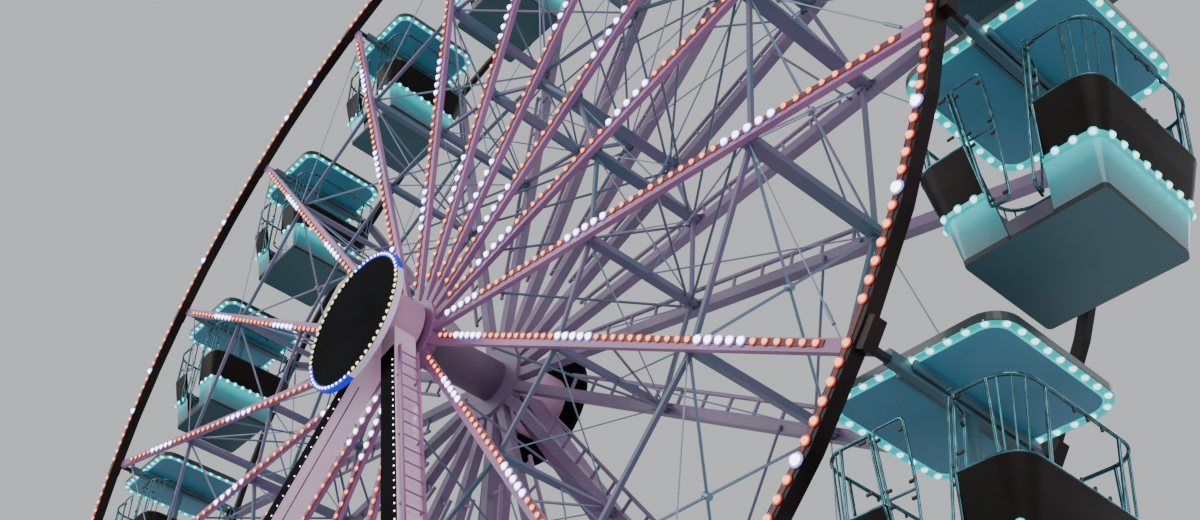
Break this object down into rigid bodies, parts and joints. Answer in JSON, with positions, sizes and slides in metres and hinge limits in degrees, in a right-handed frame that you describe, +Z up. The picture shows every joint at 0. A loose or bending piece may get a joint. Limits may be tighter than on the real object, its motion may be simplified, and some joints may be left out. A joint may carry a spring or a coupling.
{
  "type": "ferris wheel",
  "caption": "Ferris wheel: two lamp-lined rims on box spokes between splayed A-frames, with open tub gondolas that stay level under canopies, and a boarding deck.",
  "frame": {"origin": "on the ground under the middle of the hub", "axes": "+X to the right along the wheel, +Y away from the viewer along the axle, +Z up"},
  "size_m": [21.946, 11.4782, 24.2237],
  "materials": {
    "frame_paint": "satin pinkish white paint",
    "rim_paint": "satin dark brown paint",
    "brace_paint": "satin grey paint",
    "stand_paint": "satin pink paint",
    "cover_paint": "satin black paint",
    "axle_steel": "turned steel",
    "gate_steel": "polished tube",
    "gondola_paint": "gloss dark brown over a white skirt",
    "deck_metal": "ribbed plate"
  },
  "bodies": {
    "stand": {"stand_axle": "axle_steel", "stand_head_front": "stand_paint", "stand_head_rear": "stand_paint", "stand_cover_disc": "cover_paint", "stand_rear_disc": "cover_paint", "stand_leg_front_left": "stand_paint", "stand_leg_front_right": "stand_paint", "stand_leg_rear_left": "stand_paint", "stand_leg_rear_right": "stand_paint", "base_frame": "stand_paint", "boarding_deck": "deck_metal", "boarding_steps": "deck_metal"},
    "wheel": {"wheel_hub": "frame_paint", "wheel_spokes_front": "frame_paint", "wheel_spokes_rear": "frame_paint", "wheel_rim_front": "rim_paint", "wheel_rim_rear": "rim_paint", "wheel_cage_outer": "brace_paint", "wheel_cage_inner": "brace_paint"},
    "gondola_01": {"gondola_01": "gondola_paint"},
    "gondola_01_gate": {"gondola_01_gate": "gate_steel"},
    "gondola_02": {"gondola_02": "gondola_paint"},
    "gondola_02_gate": {"gondola_02_gate": "gate_steel"},
    "gondola_03": {"gondola_03": "gondola_paint"},
    "gondola_03_gate": {"gondola_03_gate": "gate_steel"},
    "gondola_04": {"gondola_04": "gondola_paint"},
    "gondola_04_gate": {"gondola_04_gate": "gate_steel"},
    "gondola_05": {"gondola_05": "gondola_paint"},
    "gondola_05_gate": {"gondola_05_gate": "gate_steel"},
    "gondola_06": {"gondola_06": "gondola_paint"},
    "gondola_06_gate": {"gondola_06_gate": "gate_steel"},
    "gondola_07": {"gondola_07": "gondola_paint"},
    "gondola_07_gate": {"gondola_07_gate": "gate_steel"},
    "gondola_08": {"gondola_08": "gondola_paint"},
    "gondola_08_gate": {"gondola_08_gate": "gate_steel"},
    "gondola_09": {"gondola_09": "gondola_paint"},
    "gondola_09_gate": {"gondola_09_gate": "gate_steel"},
    "gondola_10": {"gondola_10": "gondola_paint"},
    "gondola_10_gate": {"gondola_10_gate": "gate_steel"},
    "gondola_11": {"gondola_11": "gondola_paint"},
    "gondola_11_gate": {"gondola_11_gate": "gate_steel"},
    "gondola_12": {"gondola_12": "gondola_paint"},
    "gondola_12_gate": {"gondola_12_gate": "gate_steel"},
    "gondola_13": {"gondola_13": "gondola_paint"},
    "gondola_13_gate": {"gondola_13_gate": "gate_steel"},
    "gondola_14": {"gondola_14": "gondola_paint"},
    "gondola_14_gate": {"gondola_14_gate": "gate_steel"},
    "gondola_15": {"gondola_15": "gondola_paint"},
    "gondola_15_gate": {"gondola_15_gate": "gate_steel"},
    "gondola_16": {"gondola_16": "gondola_paint"},
    "gondola_16_gate": {"gondola_16_gate": "gate_steel"},
    "gondola_17": {"gondola_17": "gondola_paint"},
    "gondola_17_gate": {"gondola_17_gate": "gate_steel"},
    "gondola_18": {"gondola_18": "gondola_paint"},
    "gondola_18_gate": {"gondola_18_gate": "gate_steel"}
  },
  "joints": [
    {"name": "wheel_turn", "type": "hinge", "parent": "stand", "child": "wheel", "pos_m": [0, 0, 13.9], "axis": [0, 1, 0], "continuous": true},
    {"name": "gondola_01_level", "type": "hinge", "parent": "wheel", "child": "gondola_01", "pos_m": [0.16248, 0, 23.96369], "axis": [0, 1, 0], "continuous": true},
    {"name": "gondola_01_gate_swing", "type": "hinge", "parent": "gondola_01", "child": "gondola_01_gate", "pos_m": [0.55449, -0.925, 23.53369], "axis": [0.1093, -0.0298, 0.9936], "range_deg": [-12, 78]},
    {"name": "gondola_02_level", "type": "hinge", "parent": "wheel", "child": "gondola_02", "pos_m": [-3.2893, 0, 23.41235], "axis": [0, 1, 0], "continuous": true},
    {"name": "gondola_02_gate_swing", "type": "hinge", "parent": "gondola_02", "child": "gondola_02_gate", "pos_m": [-2.8973, -0.925, 22.98235], "axis": [0.1093, -0.0298, 0.9936], "range_deg": [-12, 78]},
    {"name": "gondola_03_level", "type": "hinge", "parent": "wheel", "child": "gondola_03", "pos_m": [-6.34434, 0, 21.71368], "axis": [0, 1, 0], "continuous": true},
    {"name": "gondola_03_gate_swing", "type": "hinge", "parent": "gondola_03", "child": "gondola_03_gate", "pos_m": [-5.95234, -0.925, 21.28368], "axis": [0.1093, -0.0298, 0.9936], "range_deg": [-12, 78]},
    {"name": "gondola_04_level", "type": "hinge", "parent": "wheel", "child": "gondola_04", "pos_m": [-8.63417, 0, 19.07256], "axis": [0, 1, 0], "continuous": true},
    {"name": "gondola_04_gate_swing", "type": "hinge", "parent": "gondola_04", "child": "gondola_04_gate", "pos_m": [-8.24217, -0.925, 18.64256], "axis": [0.1093, -0.0298, 0.9936], "range_deg": [-12, 78]},
    {"name": "gondola_05_level", "type": "hinge", "parent": "wheel", "child": "gondola_05", "pos_m": [-9.88258, 0, 15.80756], "axis": [0, 1, 0], "continuous": true},
    {"name": "gondola_05_gate_swing", "type": "hinge", "parent": "gondola_05", "child": "gondola_05_gate", "pos_m": [-9.49058, -0.925, 15.37756], "axis": [0.1093, -0.0298, 0.9936], "range_deg": [-12, 78]},
    {"name": "gondola_06_level", "type": "hinge", "parent": "wheel", "child": "gondola_06", "pos_m": [-9.93901, 0, 12.31248], "axis": [0, 1, 0], "continuous": true},
    {"name": "gondola_06_gate_swing", "type": "hinge", "parent": "gondola_06", "child": "gondola_06_gate", "pos_m": [-9.54701, -0.925, 11.88248], "axis": [0.1093, -0.0298, 0.9936], "range_deg": [-12, 78]},
    {"name": "gondola_07_level", "type": "hinge", "parent": "wheel", "child": "gondola_07", "pos_m": [-8.79665, 0, 9.00887], "axis": [0, 1, 0], "continuous": true},
    {"name": "gondola_07_gate_swing", "type": "hinge", "parent": "gondola_07", "child": "gondola_07_gate", "pos_m": [-8.40465, -0.925, 8.57887], "axis": [0.1093, -0.0298, 0.9936], "range_deg": [-12, 78]},
    {"name": "gondola_08_level", "type": "hinge", "parent": "wheel", "child": "gondola_08", "pos_m": [-6.59328, 0, 6.29521], "axis": [0, 1, 0], "continuous": true},
    {"name": "gondola_08_gate_swing", "type": "hinge", "parent": "gondola_08", "child": "gondola_08_gate", "pos_m": [-6.20129, -0.925, 5.86521], "axis": [0.1093, -0.0298, 0.9936], "range_deg": [-12, 78]},
    {"name": "gondola_09_level", "type": "hinge", "parent": "wheel", "child": "gondola_09", "pos_m": [-3.59467, 0, 4.4988], "axis": [0, 1, 0], "continuous": true},
    {"name": "gondola_09_gate_swing", "type": "hinge", "parent": "gondola_09", "child": "gondola_09_gate", "pos_m": [-3.20267, -0.925, 4.0688], "axis": [0.1093, -0.0298, 0.9936], "range_deg": [-12, 78]},
    {"name": "gondola_10_level", "type": "hinge", "parent": "wheel", "child": "gondola_10", "pos_m": [-0.16248, 0, 3.83631], "axis": [0, 1, 0], "continuous": true},
    {"name": "gondola_10_gate_swing", "type": "hinge", "parent": "gondola_10", "child": "gondola_10_gate", "pos_m": [0.22951, -0.925, 3.40631], "axis": [0.1093, -0.0298, 0.9936], "range_deg": [-12, 78]},
    {"name": "gondola_11_level", "type": "hinge", "parent": "wheel", "child": "gondola_11", "pos_m": [3.2893, 0, 4.38765], "axis": [0, 1, 0], "continuous": true},
    {"name": "gondola_11_gate_swing", "type": "hinge", "parent": "gondola_11", "child": "gondola_11_gate", "pos_m": [3.6813, -0.925, 3.95765], "axis": [0.1093, -0.0298, 0.9936], "range_deg": [-12, 78]},
    {"name": "gondola_12_level", "type": "hinge", "parent": "wheel", "child": "gondola_12", "pos_m": [6.34434, 0, 6.08632], "axis": [0, 1, 0], "continuous": true},
    {"name": "gondola_12_gate_swing", "type": "hinge", "parent": "gondola_12", "child": "gondola_12_gate", "pos_m": [6.73634, -0.925, 5.65632], "axis": [0.1093, -0.0298, 0.9936], "range_deg": [-12, 78]},
    {"name": "gondola_13_level", "type": "hinge", "parent": "wheel", "child": "gondola_13", "pos_m": [8.63417, 0, 8.72744], "axis": [0, 1, 0], "continuous": true},
    {"name": "gondola_13_gate_swing", "type": "hinge", "parent": "gondola_13", "child": "gondola_13_gate", "pos_m": [9.02617, -0.925, 8.29744], "axis": [0.1093, -0.0298, 0.9936], "range_deg": [-12, 78]},
    {"name": "gondola_14_level", "type": "hinge", "parent": "wheel", "child": "gondola_14", "pos_m": [9.88258, 0, 11.99244], "axis": [0, 1, 0], "continuous": true},
    {"name": "gondola_14_gate_swing", "type": "hinge", "parent": "gondola_14", "child": "gondola_14_gate", "pos_m": [10.27458, -0.925, 11.56244], "axis": [0.1093, -0.0298, 0.9936], "range_deg": [-12, 78]},
    {"name": "gondola_15_level", "type": "hinge", "parent": "wheel", "child": "gondola_15", "pos_m": [9.93901, 0, 15.48752], "axis": [0, 1, 0], "continuous": true},
    {"name": "gondola_15_gate_swing", "type": "hinge", "parent": "gondola_15", "child": "gondola_15_gate", "pos_m": [10.33101, -0.925, 15.05752], "axis": [0.1093, -0.0298, 0.9936], "range_deg": [-12, 78]},
    {"name": "gondola_16_level", "type": "hinge", "parent": "wheel", "child": "gondola_16", "pos_m": [8.79665, 0, 18.79113], "axis": [0, 1, 0], "continuous": true},
    {"name": "gondola_16_gate_swing", "type": "hinge", "parent": "gondola_16", "child": "gondola_16_gate", "pos_m": [9.18865, -0.925, 18.36113], "axis": [0.1093, -0.0298, 0.9936], "range_deg": [-12, 78]},
    {"name": "gondola_17_level", "type": "hinge", "parent": "wheel", "child": "gondola_17", "pos_m": [6.59328, 0, 21.50479], "axis": [0, 1, 0], "continuous": true},
    {"name": "gondola_17_gate_swing", "type": "hinge", "parent": "gondola_17", "child": "gondola_17_gate", "pos_m": [6.98529, -0.925, 21.07479], "axis": [0.1093, -0.0298, 0.9936], "range_deg": [-12, 78]},
    {"name": "gondola_18_level", "type": "hinge", "parent": "wheel", "child": "gondola_18", "pos_m": [3.59467, 0, 23.3012], "axis": [0, 1, 0], "continuous": true},
    {"name": "gondola_18_gate_swing", "type": "hinge", "parent": "gondola_18", "child": "gondola_18_gate", "pos_m": [3.98667, -0.925, 22.8712], "axis": [0.1093, -0.0298, 0.9936], "range_deg": [-12, 78]}
  ],
  "couplings": [
    {"joint": "gondola_01_level", "follows": "wheel_turn", "ratio": -1},
    {"joint": "gondola_02_level", "follows": "wheel_turn", "ratio": -1},
    {"joint": "gondola_03_level", "follows": "wheel_turn", "ratio": -1},
    {"joint": "gondola_04_level", "follows": "wheel_turn", "ratio": -1},
    {"joint": "gondola_05_level", "follows": "wheel_turn", "ratio": -1},
    {"joint": "gondola_06_level", "follows": "wheel_turn", "ratio": -1},
    {"joint": "gondola_07_level", "follows": "wheel_turn", "ratio": -1},
    {"joint": "gondola_08_level", "follows": "wheel_turn", "ratio": -1},
    {"joint": "gondola_09_level", "follows": "wheel_turn", "ratio": -1},
    {"joint": "gondola_10_level", "follows": "wheel_turn", "ratio": -1},
    {"joint": "gondola_11_level", "follows": "wheel_turn", "ratio": -1},
    {"joint": "gondola_12_level", "follows": "wheel_turn", "ratio": -1},
    {"joint": "gondola_13_level", "follows": "wheel_turn", "ratio": -1},
    {"joint": "gondola_14_level", "follows": "wheel_turn", "ratio": -1},
    {"joint": "gondola_15_level", "follows": "wheel_turn", "ratio": -1},
    {"joint": "gondola_16_level", "follows": "wheel_turn", "ratio": -1},
    {"joint": "gondola_17_level", "follows": "wheel_turn", "ratio": -1},
    {"joint": "gondola_18_level", "follows": "wheel_turn", "ratio": -1}
  ]
}
